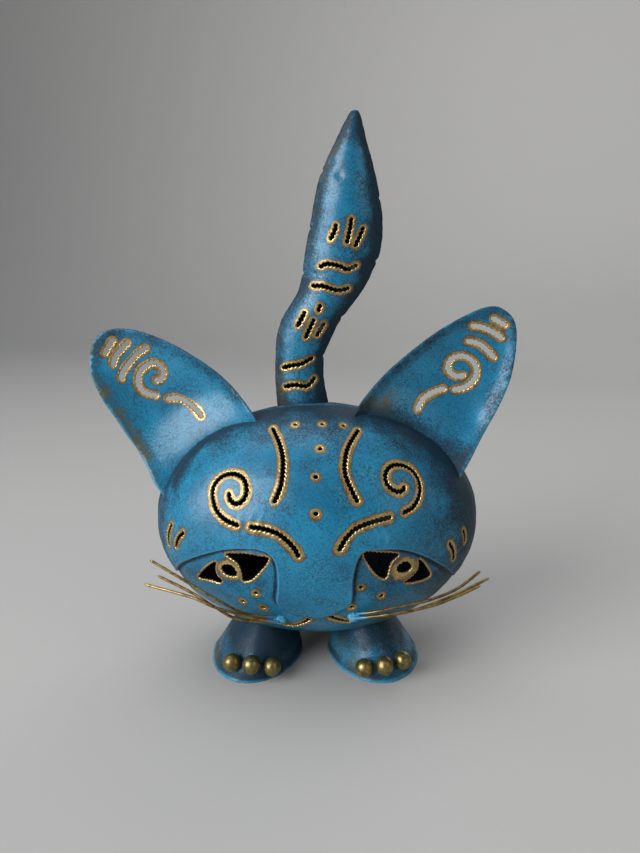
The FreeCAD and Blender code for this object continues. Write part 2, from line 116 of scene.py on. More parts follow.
EYE_HOLES = [
    [(-46, -4.9), (-40, -3.4), (-34.5, -2.7), (-28, -3.1), (-23.2, -3.5), (-23.7, -6.8), (-28.2, -12.8),
     (-32.5, -17.4), (-37, -18.9), (-37.6, -14.5), (-39.7, -9.2)],
    [(-52.8, -10.6), (-59.3, -15.2), (-67.7, -25), (-58, -23.6), (-51.4, -23.5), (-49.8, -20.6),
     (-52.3, -18.6), (-53.2, -14.2)],
    [(-48.6, -12), (-44, -10.9), (-40.6, -13.8), (-41, -16.8), (-45.6, -17.3), (-49, -15)],
    [(22.4, -1.1), (31, -1.4), (40.6, -3.9), (36.6, -8.6), (34.6, -16.6), (30, -14.6), (25, -7.8)],
    [(53.2, -9), (58.2, -13.8), (62.8, -22.3), (53, -23.2), (45.6, -21.6), (50, -18.6), (53.3, -14.2)],
    [(40.4, -11.2), (45.2, -9), (49.2, -12.5), (46.8, -15.5), (41.4, -14.6)],
]  # fmt: skip
EARS = {
    "left_ear": {
        "upper": [(-22, 40), (-30.4, 55.5), (-38, 65), (-46.3, 73), (-54.5, 79.2), (-65.4, 85.7),
                  (-73.5, 89.6), (-81.7, 92.6), (-89.8, 94.6), (-97, 94.9), (-102.6, 93.6),
                  (-106.3, 91.3), (-109.6, 86)],
        "outer": [(-110.6, 79), (-110.4, 74), (-109, 69), (-104.8, 60.4), (-99, 51.7), (-93.9, 43.5),
                  (-88, 35.2), (-82.8, 27.4), (-78.5, 20.2), (-66, 6)],
        "axis": ((-54, 36), (-104, 90)),
        "slots": [
            [(-98.7, 90.2), (-101.4, 86.5), (-104, 82.2)],
            [(-91.5, 89), (-96, 84.3), (-98.7, 80.9), (-100.2, 76.2)],
            [(-82.4, 86.3), (-87.7, 82.6), (-92.5, 77.5), (-95.6, 73), (-96.2, 69.2)],
            [(-80.3, 69.3), (-77, 70.2), (-75.4, 73), (-76.4, 76.4), (-79.1, 78.4), (-82.5, 77.6),
             (-86, 75), (-87.9, 71.3), (-88, 67.6), (-86.4, 64.5), (-83, 62.5), (-78.6, 61.7)],
            [(-75, 60), (-68.7, 60.7), (-63.1, 58.1), (-58.7, 54.6), (-56.2, 51.8)],
        ],
    },
    "right_ear": {
        "upper": [(10, 42), (18.8, 57.6), (26, 66.7), (36, 76.3), (46.4, 85.2), (57.8, 93.7),
                  (66.4, 98.7), (74.9, 103), (80.6, 105), (85.8, 105.7), (89.9, 104.2), (93.6, 101.3),
                  (95.9, 96.9)],
        "outer": [(96.6, 90.5), (95.9, 81), (94, 71.5), (90.5, 61.9), (85, 50.8), (79, 40.3),
                  (72.2, 29.6), (68.8, 24.5), (56, 8)],
        "axis": ((43, 41), (90, 101)),
        "slots": [
            [(84.2, 100.4), (88.4, 98.1), (91.7, 96.2)],
            [(74.2, 96.6), (81, 95.2), (86.5, 92.6), (90.5, 89.8)],
            [(72.4, 89), (78.5, 87.6), (83.4, 84), (87, 80.3)],
            [(72.8, 72.7), (69.3, 71.5), (65.6, 73.3), (64.1, 76.5), (65.6, 80), (69.6, 81.6),
             (74, 80.6), (77.3, 77.5), (78.3, 73.3), (76.4, 69), (72.5, 66), (66.6, 64.6)],
            [(63.6, 65.5), (58.3, 64), (53, 61.2), (50.2, 57.6), (48.9, 55)],
        ],
    },
}  # fmt: skip
TAIL_LEFT = [(-19, 40), (-20, 56.5), (-20.7, 69.7), (-20.5, 79.7), (-19.9, 89.6), (-17.4, 98.4),
             (-13.4, 105.2), (-9.5, 111.9), (-7.5, 118.6), (-5.5, 131.8), (-2.1, 150.2), (0.3, 162),
             (4, 172), (11.3, 186.8), (14.8, 193.2), (16.2, 194.7), (17.8, 195)]  # fmt: skip
TAIL_RIGHT = [(7, 40), (5.7, 56.5), (3.4, 69.7), (3.6, 80.7), (6.1, 87.7), (10.9, 97.5), (15.8, 104.2),
              (21.5, 111.9), (25.3, 118.6), (29, 127.1), (30.8, 133.7), (31.3, 144.8), (29.9, 155.7),
              (26.4, 171), (23.4, 180.7), (20.8, 190.5), (19.9, 193.6), (18.9, 194.8),
              (17.9, 195)]  # fmt: skip
TAIL_SLOTS = [
    [(9.2, 144.3), (8.3, 140.6), (6.3, 136.7)],
    [(16.3, 147.2), (15.4, 141), (14, 134.9)],
    [(22.1, 143), (20.2, 138.3), (17.8, 133.5)],
    [(1, 124.1), (5, 125.7), (10.8, 124.8), (14.6, 123.3), (19.5, 125.3)],
    [(-2.7, 115.3), (3.1, 115.3), (9.9, 113.4), (15.8, 114.4)],
    [(-5.5, 103.5), (-8.1, 98.4), (-9.8, 95.8)],
    [(1.8, 107), (0.6, 103)],
    [(-1.2, 100), (-3.2, 95.5), (-5.8, 90)],
    [(3.7, 98), (1.2, 93.6), (-0.4, 91)],
    [(-17.2, 75.2), (-12.7, 76.7), (-7.7, 77.7), (-1.7, 80.8)],
    [(-16.4, 65.7), (-10.8, 67.2), (-4.8, 66.7), (-0.7, 70.8)],
]
WHISKERS = {
    "left_whisker_top": [(-18.6, -34.9, -37.2), (-26.5, -38.4, -35), (-35.7, -39, -32.4),
                         (-45.8, -38.6, -26.9), (-60.3, -34.8, -19.6), (-78.8, -29.6, -10.4)],
    "left_whisker_middle": [(-18.2, -36.4, -38.8), (-27, -40.4, -35.6), (-35, -41.4, -32.8),
                            (-48.5, -41.6, -28.2), (-58.6, -39, -24.8), (-81.5, -32, -21.6)],
    "left_whisker_low": [(-18.6, -34.4, -40), (-26.6, -37.8, -38), (-38.6, -39.2, -35.4),
                         (-48.7, -38.8, -29.2), (-58.8, -35.6, -24.2), (-75.2, -30.6, -18)],
    "right_whisker_top": [(18.6, -35.8, -35), (26, -37.8, -33.2), (33.8, -38.8, -31), (46, -38.6, -28.4),
                          (55.6, -36.4, -26.6), (66.5, -34, -22.8), (77.6, -29.8, -16)],
    "right_whisker_middle": [(18.2, -37.4, -36.6), (34, -41, -32.6), (52.7, -40.6, -28.8),
                             (66, -37.6, -25), (77, -34.6, -21)],
    "right_whisker_low": [(18.6, -35.3, -38), (27.6, -37, -35.8), (34, -38.4, -34.4), (47.2, -39, -31),
                          (64.7, -36, -25.2), (81.6, -31, -19)],
}  # fmt: skip

# ---------------------------------------------------------------- lines and loops


def smooth_line(points, step, closed=False):
    """Points about every step mm along a smooth line through the given ones."""
    given = np.array(points, float)
    if closed:
        padded = np.vstack([given[-1:], given, given[:2]])
    else:
        padded = np.vstack([2 * given[0] - given[1], given, 2 * given[-1] - given[-2]])
    pieces = []
    share = np.linspace(0, 1, 24, endpoint=False)[:, None]
    for before, start, end, after in zip(padded, padded[1:], padded[2:], padded[3:]):
        bend = 2 * before - 5 * start + 4 * end - after
        twist = 3 * start - before - 3 * end + after
        pieces.append(0.5 * (2 * start + (end - before) * share + bend * share**2 + twist * share**3))
    dense = np.vstack(pieces + [given[:1] if closed else given[-1:]])
    along = np.concatenate([[0], np.cumsum(np.linalg.norm(np.diff(dense, axis=0), axis=1))])
    count = max(3, round(along[-1] / step))
    at = np.linspace(0, along[-1], count + 1)
    if closed:
        at = at[:-1]
    return np.stack([np.interp(at, along, dense[:, i]) for i in range(dense.shape[1])], 1)


def left_of(line, closed=False):
    """Unit vectors to the left of each point of a flat line."""
    if closed:
        heading = np.roll(line, -1, 0) - np.roll(line, 1, 0)
    else:
        heading = np.gradient(line, axis=0)
    heading /= np.maximum(np.linalg.norm(heading, axis=1), 1e-9)[:, None]
    return np.stack([-heading[:, 1], heading[:, 0]], 1)


def bites(count, step, pitch=2.1):
    """How far a small chisel bites out each point of an edge, in mm, and how much of a burr it leaves."""
    along = np.arange(count) * step
    wander = np.cumsum(rng.normal(0, 0.03, count))
    arcs = np.abs(np.sin(math.pi * (along / pitch + wander + rng.random())))
    return 0.5 * (arcs - 0.6) + rng.normal(0, 0.04, count), (1 - arcs) ** 1.5


def slot_loop(line, width, step=0.36):
    """A chiselled slot: a band with rounded ends along the line. Its third column is the burr."""
    centre = smooth_line(line, step)
    side = left_of(centre)
    count = len(centre)
    along = np.arange(count) * step
    from_end = np.clip(np.minimum(along, along[::-1]) / (0.7 * width), 0, 1)
    half = width / 2 * np.sqrt(1 - (1 - from_end) ** 2)
    edges = []
    for turn in (1, -1):
        bite, burr = bites(count, step)
        edge = centre + side * (turn * (half + bite * from_end))[:, None]
        edges.append(np.column_stack([edge, burr * from_end]))
    left, right = edges
    return np.vstack([left, right[-2:0:-1]])


def eye_loop(outline, step=0.4):
    """An eye opening: a smooth closed outline cut in small bites."""
    loop = smooth_line(outline, step, closed=True)
    bite, burr = bites(len(loop), step)
    return np.column_stack([loop + left_of(loop, closed=True) * bite[:, None] * 0.8, burr])


def dot_loop(centre, radius=1.15):
    angles = np.linspace(0, 2 * math.pi, 14, endpoint=False)
    reach = radius * (1 + rng.normal(0, 0.08, 14))
    x, z = centre[0] + reach * np.cos(angles), centre[1] + reach * np.sin(angles) * 0.85
    return np.stack([x, z, np.full(14, 0.2)], 1)


def inside(points, loop):
    """Which points lie inside a closed loop."""
    low, high = loop.min(0), loop.max(0)
    near = np.nonzero(((points > low) & (points < high)).all(1))[0]
    result = np.zeros(len(points), bool)
    start, end = loop, np.roll(loop, -1, 0)
    rise = np.where(end[:, 1] == start[:, 1], 1e-12, end[:, 1] - start[:, 1])
    for chunk in np.array_split(near, max(1, len(near) * len(loop) // 4_000_000 + 1)):
        x, y = points[chunk, 0][:, None], points[chunk, 1][:, None]
        crosses = (start[:, 1] > y) != (end[:, 1] > y)
        meets = start[:, 0] + (y - start[:, 1]) * (end[:, 0] - start[:, 0]) / rise
        result[chunk] = (crosses & (x < meets)).sum(1) % 2 == 1
    return result


def nearest(points, targets):
    """Distance from each point to the nearest of the targets, and which one it is."""
    if len(targets) == 0:
        return np.full(len(points), 99.0), np.zeros(len(points), int)
    tree = kdtree.KDTree(len(targets))
    for i, target in enumerate(targets):
        tree.insert((target[0], target[1], 0), i)
    tree.balance()
    found = [tree.find((p[0], p[1], 0)) for p in points]
    return np.array([f[2] for f in found]), np.array([f[1] for f in found])


def distance_to(points, targets):
    return nearest(points, targets)[0]


# ---------------------------------------------------------------- meshes


def soft(low, high, value):
    """0 below low, 1 above high, smooth between."""
    share = np.clip((value - low) / (high - low), 0, 1)
    return share * share * (3 - 2 * share)


def waves(points, size, seed):
    """Smooth noise from -1 to 1 with features about size mm across."""
    offset = Vector((seed * 7.3, seed * 3.1, seed * 5.7))
    placed = [Vector((p[0], p[1], p[2] if len(p) > 2 else 0)) for p in points]
    return np.array([noise.noise(place / size + offset) for place in placed])


def triangulate(outline, holes, creases, coarse):
    """Points and triangles over a flat sheet: fine beside holes and creases, coarse elsewhere."""
    holes = [hole[:, :2] for hole in holes]
    loops = [outline] + holes
    cuts = np.vstack(holes) if holes else np.zeros((0, 2))
    busy = np.vstack([cuts] + creases) if holes or creases else cuts
    layers = ((0.52, 0, 2.1), (1.05, 2.1, 4.6), (coarse, 4.6, 1e9))
    filled = []
    for step, nearest, farthest in layers:
        low, high = outline.min(0), outline.max(0)
        rows = np.arange(low[1], high[1], step * 0.866)
        columns = np.arange(low[0], high[0], step)
        grid = np.array([(x + (i % 2) * step / 2, y) for i, y in enumerate(rows) for x in columns])
        grid += rng.normal(0, 0.08 * step, grid.shape)
        gap = distance_to(grid, busy)
        filled.append(grid[(gap >= nearest) & (gap < farthest)])
    grid = np.vstack(filled)
    grid = grid[inside(grid, outline)]
    for hole in holes:
        grid = grid[~inside(grid, hole)]
    grid = grid[distance_to(grid, np.vstack(loops)) > 0.26]
    points = np.vstack(loops + [grid])
    edges = []
    first = 0
    for loop in loops:
        edges += [(first + i, first + (i + 1) % len(loop)) for i in range(len(loop))]
        first += len(loop)
    made = delaunay_2d_cdt([Vector(p) for p in points], edges, [], 0, 1e-6)
    flat = np.array([(v.x, v.y) for v in made[0]])
    faces = np.array([f for f in made[2] if len(f) == 3])
    middles = flat[faces].mean(1)
    keep = inside(middles, outline)
    for hole in holes:
        keep &= ~inside(middles, hole)
    return flat, faces[keep]


def thickened(outer, inner, faces):
    """Closes a sheet: its outer and inner skins and the narrow walls between them along every open edge."""
    count = len(outer)
    edges = np.vstack([faces[:, [0, 1]], faces[:, [1, 2]], faces[:, [2, 0]]])
    key = np.sort(edges, 1)
    _, first, uses = np.unique(key, axis=0, return_index=True, return_counts=True)
    rim = edges[first[uses == 1]]
    start, end = rim[:, 0], rim[:, 1]
    walls = np.vstack([np.c_[end, start, start + count], np.c_[end, start + count, end + count]])
    skins = np.vstack([faces, faces[:, ::-1] + count, walls])
    return np.vstack([outer, inner]), skins


def make_piece(name, points, faces, paint, replaces=(), **layers):
    """A Blender object in the row frame, in metres, with its paint layers as vertex attributes."""
    mesh = bpy.data.meshes.new(name)
    metres = (np.asarray(points) + CENTRE) / 1000
    mesh.from_pydata(metres.tolist(), [], [list(map(int, face)) for face in faces])
    mesh.validate()
    for layer, values in layers.items():
        mesh.attributes.new(layer, "FLOAT", "POINT").data.foreach_set("value", np.asarray(values, np.float32))
    mesh.polygons.foreach_set("use_smooth", np.ones(len(mesh.polygons), bool))
    mesh.materials.append(paint)
    piece = bpy.data.objects.new(name, mesh)
    bpy.context.scene.collection.objects.link(piece)
    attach(piece, "root")
    if replaces:
        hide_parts(*replaces)
    return piece


def gilding(flat, *groups):
    """How far out each point is across the gold paint round the cuts: 0 at the cut, 1 at the paint's edge.
    Each group is a list of cuts and the width of the paint round them."""
    ratio = np.full(len(flat), NO_GOLD)
    for cuts, width in groups:
        ratio = np.minimum(ratio, distance_to(flat, np.vstack(cuts)) / width)
    return ratio


def lip(flat, cuts):
    """Height of the edge of chiselled cuts, turned in a little and with a row of small burrs, and the
    distance from the nearest cut."""
    edge = np.vstack(cuts)
    gap, index = nearest(flat, edge)
    burr = edge[index, 2]
    turned_in = -0.3 * np.clip(1 - gap / 0.4, 0, 1) ** 2
    return turned_in + (0.08 + 0.6 * burr) * np.exp(-(((gap - 0.3) / 0.42) ** 2)), gap


def normals_of(points, faces):
    """Vertex normals from the triangles round each point."""
    corners = points[faces]
    across = np.cross(corners[:, 1] - corners[:, 0], corners[:, 2] - corners[:, 0])
    total = np.zeros_like(points)
    for i in range(3):
        np.add.at(total, faces[:, i], across)
    return total / np.maximum(np.linalg.norm(total, axis=1), 1e-12)[:, None]


# ---------------------------------------------------------------- paint


def make_nodes(name):
    material = bpy.data.materials.new(name)
    material.use_nodes = True
    tree = material.node_tree
    tree.nodes.clear()
    return material, tree


def node(tree, kind, settings=None, **inputs):
    """Adds a shader node. Inputs are sockets to join or values to set. _ in a name stands for a space, and
    i0, i1 and so on are inputs by number."""
    made = tree.nodes.new(kind)
    for key, value in (settings or {}).items():
        setattr(made, key, value)
    for key, value in inputs.items():
        numbered = key[0] == "i" and key[1:].isdigit()
        socket = made.inputs[int(key[1:]) if numbered else key.replace("_", " ")]
        if isinstance(value, bpy.types.NodeSocket):
            tree.links.new(value, socket)
        else:
            socket.default_value = value
    return made


def noise_at(tree, where, scale, detail=3.0, roughness=0.6):
    made = node(tree, "ShaderNodeTexNoise", Vector=where, Scale=scale, Detail=detail, Roughness=roughness)
    return made.outputs[0]


def calc(tree, operation, a, b=0.0, clamp=False):
    return node(tree, "ShaderNodeMath", {"operation": operation, "use_clamp": clamp}, i0=a, i1=b).outputs[0]


def ramp(tree, value, low, high):
    """0 below low and 1 above high, smooth between."""
    settings = {"interpolation_type": "SMOOTHSTEP"}
    return node(tree, "ShaderNodeMapRange", settings, Value=value, From_Min=low, From_Max=high).outputs[0]


def blend(tree, share, first, second):
    """Mixes two colours, each a socket or (r, g, b)."""
    colours = [c if isinstance(c, bpy.types.NodeSocket) else (*c, 1.0) for c in (first, second)]
    made = tree.nodes.new("ShaderNodeMix")
    made.data_type = "RGBA"
    for index, value in ((0, share), (6, colours[0]), (7, colours[1])):
        if isinstance(value, bpy.types.NodeSocket):
            tree.links.new(value, made.inputs[index])
        else:
            made.inputs[index].default_value = value
    return made.outputs[2]


def layer(tree, name):
    return node(tree, "ShaderNodeAttribute", {"attribute_name": name}).outputs["Fac"]


def gold_colour(tree, where):
    """Tarnished gold paint: ochre with brown in the hollows and a few bright rubbed spots."""
    cloud = noise_at(tree, where, 260, 4)
    speck = noise_at(tree, where, 1400, 3)
    colour = blend(tree, ramp(tree, cloud, 0.38, 0.6), (0.14, 0.082, 0.024), (0.33, 0.215, 0.075))
    return blend(tree, ramp(tree, speck, 0.57, 0.72), colour, (0.6, 0.46, 0.22))


def blue_paint():
    """Sponged blue with a fine dark speckle, painted shade going navy in creases and on the side away from
    the light, painted light blue highlights mixed with rubbed paint, gilt round the cuts, near black inside.
    """
    material, tree = make_nodes("blue_paint")
    where = node(tree, "ShaderNodeTexCoord").outputs["Object"]
    cloud = noise_at(tree, where, 24, 3)
    patch = noise_at(tree, where, 90, 5, 0.62)
    sponge = noise_at(tree, where, 1050, 4, 0.66)
    grain = noise_at(tree, where, 2300, 2, 0.6)
    blue = blend(tree, ramp(tree, cloud, 0.36, 0.62), (0.006, 0.135, 0.25), (0.011, 0.2, 0.35))
    fine = calc(tree, "ADD", calc(tree, "MULTIPLY", sponge, 0.6), calc(tree, "MULTIPLY", grain, 0.4))
    speckle = calc(tree, "ADD", fine, calc(tree, "MULTIPLY", calc(tree, "SUBTRACT", patch, 0.5), 0.22))
    dark_speckle = calc(tree, "MULTIPLY", ramp(tree, speckle, 0.43, 0.62), 0.68)
    blue = blend(tree, dark_speckle, blue, (0.003, 0.034, 0.066))
    haze = calc(tree, "MULTIPLY", ramp(tree, patch, 0.54, 0.7), ramp(tree, fine, 0.56, 0.44))
    blue = blend(tree, calc(tree, "MULTIPLY", haze, 0.3), blue, (0.07, 0.3, 0.44))
    uneven = calc(tree, "MULTIPLY", calc(tree, "SUBTRACT", patch, 0.48), 1.5)
    speck = calc(tree, "MULTIPLY", calc(tree, "SUBTRACT", fine, 0.5), 2.2)
    # Painted shade: this layer, with random dark patches and specks, darkens the blue to near black in
    # creases, along rims and on the side turned from the light; part of it is real dirt.
    shade_and_patches = calc(tree, "ADD", calc(tree, "ADD", layer(tree, "grime"), uneven), speck)
    shade_and_patch_share = calc(tree, "MULTIPLY", ramp(tree, shade_and_patches, 0.05, 1.15), 0.93)
    blue = blend(tree, shade_and_patch_share, blue, (0.004, 0.015, 0.028))
    rust_patch = ramp(tree, calc(tree, "ADD", uneven, sponge), 0.34, 0.72)
    rust = calc(tree, "MULTIPLY", layer(tree, "rust"), rust_patch)
    blue = blend(tree, rust, blue, (0.085, 0.085, 0.042))
    # Painted highlight: light blue along lit edges and ridges, mixed with paint rubbed off the edges.
    lit_and_worn = calc(tree, "MULTIPLY", layer(tree, "wear"), ramp(tree, sponge, 0.34, 0.56))
    blue = blend(tree, lit_and_worn, blue, (0.1, 0.37, 0.53))
    wobble = calc(tree, "MULTIPLY", calc(tree, "SUBTRACT", noise_at(tree, where, 520, 3), 0.5), 0.5)
    broad = calc(tree, "MULTIPLY", calc(tree, "SUBTRACT", noise_at(tree, where, 130, 2), 0.5), 1.3)
    reach = calc(tree, "ADD", layer(tree, "gilt"), calc(tree, "ADD", wobble, broad))
    brown = calc(tree, "SUBTRACT", 1.0, ramp(tree, reach, 0.9, 1.3))
    gold = calc(tree, "SUBTRACT", 1.0, ramp(tree, reach, 0.8, 1.0))
    colour = blend(tree, calc(tree, "MULTIPLY", brown, 0.8), blue, (0.055, 0.032, 0.012))
    # Next to the cut the gold is painted lighter as well as made glossier: a painted highlight for the glints
    # on the chiselled edge.
    near_cut = calc(tree, "MULTIPLY", gold, calc(tree, "SUBTRACT", 1.0, ramp(tree, reach, 0.1, 0.55)))
    gilt = blend(tree, calc(tree, "MULTIPLY", near_cut, 0.7), gold_colour(tree, where), (0.62, 0.47, 0.21))
    colour = blend(tree, gold, colour, gilt)
    inner = layer(tree, "inner")
    colour = blend(tree, inner, colour, (0.006, 0.008, 0.011))
    shown_gold = calc(tree, "MULTIPLY", gold, calc(tree, "SUBTRACT", 1.0, inner), True)
    rough = calc(tree, "ADD", 0.29, calc(tree, "MULTIPLY", ramp(tree, fine, 0.38, 0.62), 0.16))
    rough = calc(tree, "ADD", rough, calc(tree, "MULTIPLY", inner, 0.3))
    dull = ramp(tree, shade_and_patches, 0.1, 1.1)
    rough = calc(tree, "ADD", rough, calc(tree, "MULTIPLY", dull, 0.2))
    coat = calc(tree, "MULTIPLY", calc(tree, "SUBTRACT", 1.0, dull), 0.25)
    rough = calc(tree, "SUBTRACT", rough, calc(tree, "MULTIPLY", near_cut, 0.14))
    relief = calc(tree, "ADD", calc(tree, "MULTIPLY", grain, 0.5), sponge)
    bump = node(tree, "ShaderNodeBump", Strength=0.3, Distance=0.0003, Height=relief).outputs[0]
    polish = calc(tree, "ADD", 0.45, calc(tree, "MULTIPLY", near_cut, 0.4))
    metal = calc(tree, "MULTIPLY", shown_gold, polish, True)
    shader = node(
        tree, "ShaderNodeBsdfPrincipled", Base_Color=colour, Metallic=metal, Roughness=rough, Normal=bump,
        Coat_Weight=coat, Coat_Roughness=0.2, Specular_IOR_Level=0.32,
    )  # fmt: skip
    node(tree, "ShaderNodeOutputMaterial", Surface=shader.outputs[0])
    return material


def gold_metal(name, shine, tarnish):
    """Gold paint on wire and balls, brown and olive with age, with blue paint where the solder is."""
    material, tree = make_nodes(name)
    where = node(tree, "ShaderNodeTexCoord").outputs["Object"]
    colour = gold_colour(tree, where)
    olive = ramp(tree, noise_at(tree, where, 150, 3), 0.3, 0.6)
    colour = blend(tree, calc(tree, "MULTIPLY", olive, tarnish), colour, (0.2, 0.175, 0.065))
    dirt = ramp(tree, noise_at(tree, where, 330, 5, 0.7), 0.5, 0.68)
    colour = blend(tree, calc(tree, "MULTIPLY", dirt, 0.8), colour, (0.06, 0.045, 0.022))
    fleck = ramp(tree, noise_at(tree, where, 480, 1), 0.69, 0.72)
    colour = blend(tree, calc(tree, "MULTIPLY", fleck, tarnish), colour, (0.03, 0.06, 0.12))
    painted = layer(tree, "painted")
    colour = blend(tree, painted, colour, (0.03, 0.2, 0.35))
    metal = calc(tree, "MULTIPLY", calc(tree, "SUBTRACT", 1.0, painted), 0.85)
    height = noise_at(tree, where, 700, 3)
    bump = node(tree, "ShaderNodeBump", Strength=0.3, Distance=0.0003, Height=height).outputs[0]
    shader = node(
        tree, "ShaderNodeBsdfPrincipled", Base_Color=colour, Metallic=metal, Roughness=shine, Normal=bump
    )
    node(tree, "ShaderNodeOutputMaterial", Surface=shader.outputs[0])
    return material


def plain(name, colour, roughness):
    material, tree = make_nodes(name)
    shader = node(tree, "ShaderNodeBsdfPrincipled", Base_Color=(*colour, 1), Roughness=roughness)
    node(tree, "ShaderNodeOutputMaterial", Surface=shader.outputs[0])
    return material


BLUE = blue_paint()
GOLD = gold_metal("gold_paint", 0.3, 0.15)
TOE_GOLD = gold_metal("toe_gold_paint", 0.34, 0.85)

# ---------------------------------------------------------------- body


def dome(flat, depth, facing):
    """Points and outward normals of a half shell, from distances over it. facing is -1 in front, 1 behind."""
    turn = flat / (WIDE, HIGH)
    polar = np.hypot(turn[:, 0], turn[:, 1])
    reach = np.sin(polar) / np.maximum(polar, 1e-9)
    x, z = WIDE * turn[:, 0] * reach, HIGH * turn[:, 1] * reach
    points = np.stack([x, facing * depth * np.cos(polar), z], 1)
    normal = points / (WIDE**2, depth**2, HIGH**2)
    return points, normal / np.linalg.norm(normal, axis=1)[:, None], polar


def rim_outline(step):
    """The edge of a half shell in the same flat measure."""
    angles = np.linspace(0, 2 * math.pi, round(2 * math.pi * 105 / step), endpoint=False)
    return np.stack([WIDE * np.cos(angles), HIGH * np.sin(angles)], 1) * (math.pi / 2)


def body_level(points):
    """Below 1 inside the body, above 1 outside."""
    depth = np.where(points[:, 1] < 0, FRONT, REAR)
    return np.sqrt((points[:, 0] / WIDE) ** 2 + (points[:, 1] / depth) ** 2 + (points[:, 2] / HIGH) ** 2)


def make_face():
    """The pierced face: forehead and nose stand above the beaten-in cheeks and eye hollows."""
    slots = [slot_loop(line, FACE_SLOT_WIDTH) for line in FACE_SLOTS] + [dot_loop(dot) for dot in FACE_DOTS]
    eyes = [eye_loop(outline) for outline in EYE_HOLES]
    step_line = smooth_line(FOREHEAD_EDGE, 0.5)
    outline = rim_outline(1.6)
    flat, faces = triangulate(outline, slots + eyes, [step_line], 2.2)
    points, normal, polar = dome(flat, FRONT, -1)
    rise, _ = lip(flat, slots + eyes)
    region = np.vstack([step_line, [(140, -32), (140, 120), (-140, 120), (-140, -30)]])
    side = np.where(inside(flat, region), 1.0, -1.0)
    edge = distance_to(flat, step_line) * side
    fade = np.clip(np.cos(polar), 0, 1)
    x, z = flat[:, 0], flat[:, 1]
    tip = np.exp(-((x / 10) ** 2) - ((z + 39) / 5) ** 2)
    sunk = (0.4 + 2.2 * fade**0.7) * (1 - soft(-0.5 - 3.5 * tip, 0.5 + 2 * tip, edge))
    sunk *= 0.25 + 0.75 * soft(-46, -30, z)
    lift = rise - sunk
    lift += 0.18 * np.exp(-(((edge - 0.9) / 0.9) ** 2)) * fade * (1 - 0.9 * tip)
    lift -= 0.5 * np.exp(-(((edge + 1.0) / 0.8) ** 2)) * fade * (1 - 0.9 * tip)
    for sign in (-1, 1):
        lift -= 1.3 * np.exp(-(((x - sign * 45) / 17) ** 2) - ((z + 9) / 9) ** 2)
        lift += 0.8 * np.exp(-(((x - sign * 33) / 16) ** 2) - ((z + 31) / 8) ** 2)
    above = soft(1, 5, edge) * (1 - soft(10, 24, edge)) * soft(14, 26, np.abs(x))
    fan = np.arctan2(z + 26, np.abs(x) - 38)
    flutes = np.sin(fan * 52 + 4 * waves(flat, 9, 4))
    lift += 0.1 * above * flutes
    lift += 0.32 * waves(flat, 17, 1) + 0.13 * waves(flat, 6, 2)
    lift += 0.7 * soft(1.53, 1.57, polar)
    outer = points + normal * lift[:, None]
    inner = outer - normal * SHEET
    pupils = [([eyes[2]], PUPIL_GOLD_WIDTHS[0]), ([eyes[5]], PUPIL_GOLD_WIDTHS[1])]
    gilt = gilding(flat, (slots, FACE_GOLD_WIDTH), (eyes, EYE_GOLD_WIDTH), *pupils)
    from_rim = (math.pi / 2 - polar) * 60
    streak = np.clip(flutes, 0, 1) ** 5 * soft(-0.2, 0.5, waves(flat, 12, 5))
    # Painted highlight: light blue along the lit top of the forehead's step, round the rim and on the ridges
    # of the flutes, partly paint rubbed off.
    wear = 0.45 * np.exp(-(((edge - 0.6) / 0.4) ** 2)) * soft(-36, -22, z)
    wear += 0.3 * (1 - soft(0.6, 1.6, from_rim))
    wear += 0.55 * above * streak * (1 - soft(6, 14, edge))
    # Painted shade: dark under the forehead's step, towards the rim, in the sunk cheeks and down the right
    # side away from the light; it also darkens towards the top and the far left, and in random patches across
    # the middle.
    grime = 1.1 * np.exp(-(((edge + 1.2) / 1.0) ** 2)) * (1 - 0.8 * tip) + 0.75 * soft(0.95, 1.5, polar)
    grime += 0.45 * soft(34, 72, z) + 0.8 * soft(35, 88, x) + 0.3 * (1 - soft(-95, -70, x))
    grime += 0.35 * soft(14, 30, z) * (1 - soft(44, 60, z)) * soft(-0.1, 0.6, waves(flat, 16, 8))
    grime += 0.5 * (1 - soft(-10, 0, edge)) * soft(-36, -18, z)
    rust = 0.8 * np.exp(-(((z + 52) / 14) ** 2)) * (np.abs(x) > 22)
    two = np.concatenate
    blank = np.zeros(len(flat))
    make_piece(
        "face", *thickened(outer, inner, faces), BLUE, ["face_shell"], gilt=two([gilt, gilt]),
        wear=two([wear, blank]), grime=two([grime, blank]), rust=two([rust, blank]),
        inner=two([blank, blank + 1]),
    )  # fmt: skip


def make_back():
    """The plain back of the body, its hem a little inside the face's."""
    flat, faces = triangulate(rim_outline(1.9), [], [], 2.4)
    faces = faces[:, ::-1]
    points, normal, polar = dome(flat, REAR, 1)
    lift = 0.35 * waves(flat, 19, 6) + 0.14 * waves(flat, 7, 7)
    lift -= 0.22 * soft(1.44, 1.56, polar)
    outer = points + normal * lift[:, None]
    inner = outer - normal * SHEET
    two = np.concatenate
    blank = np.zeros(len(flat))
    # Painted shade: darker towards the hem, where the back turns in under the face, and towards the top.
    grime = 0.9 * soft(1.2, 1.55, polar) + 0.35 * soft(0, 60, flat[:, 1])
    rust = 0.6 * (1 - soft(-60, -35, flat[:, 1]))
    make_piece(
        "back", *thickened(outer, inner, faces), BLUE, ["back_shell"], gilt=np.full(2 * len(flat), NO_GOLD),
        wear=two([blank, blank]), grime=two([grime, blank]), rust=two([rust, blank]),
        inner=two([blank, blank + 1]),
    )  # fmt: skip


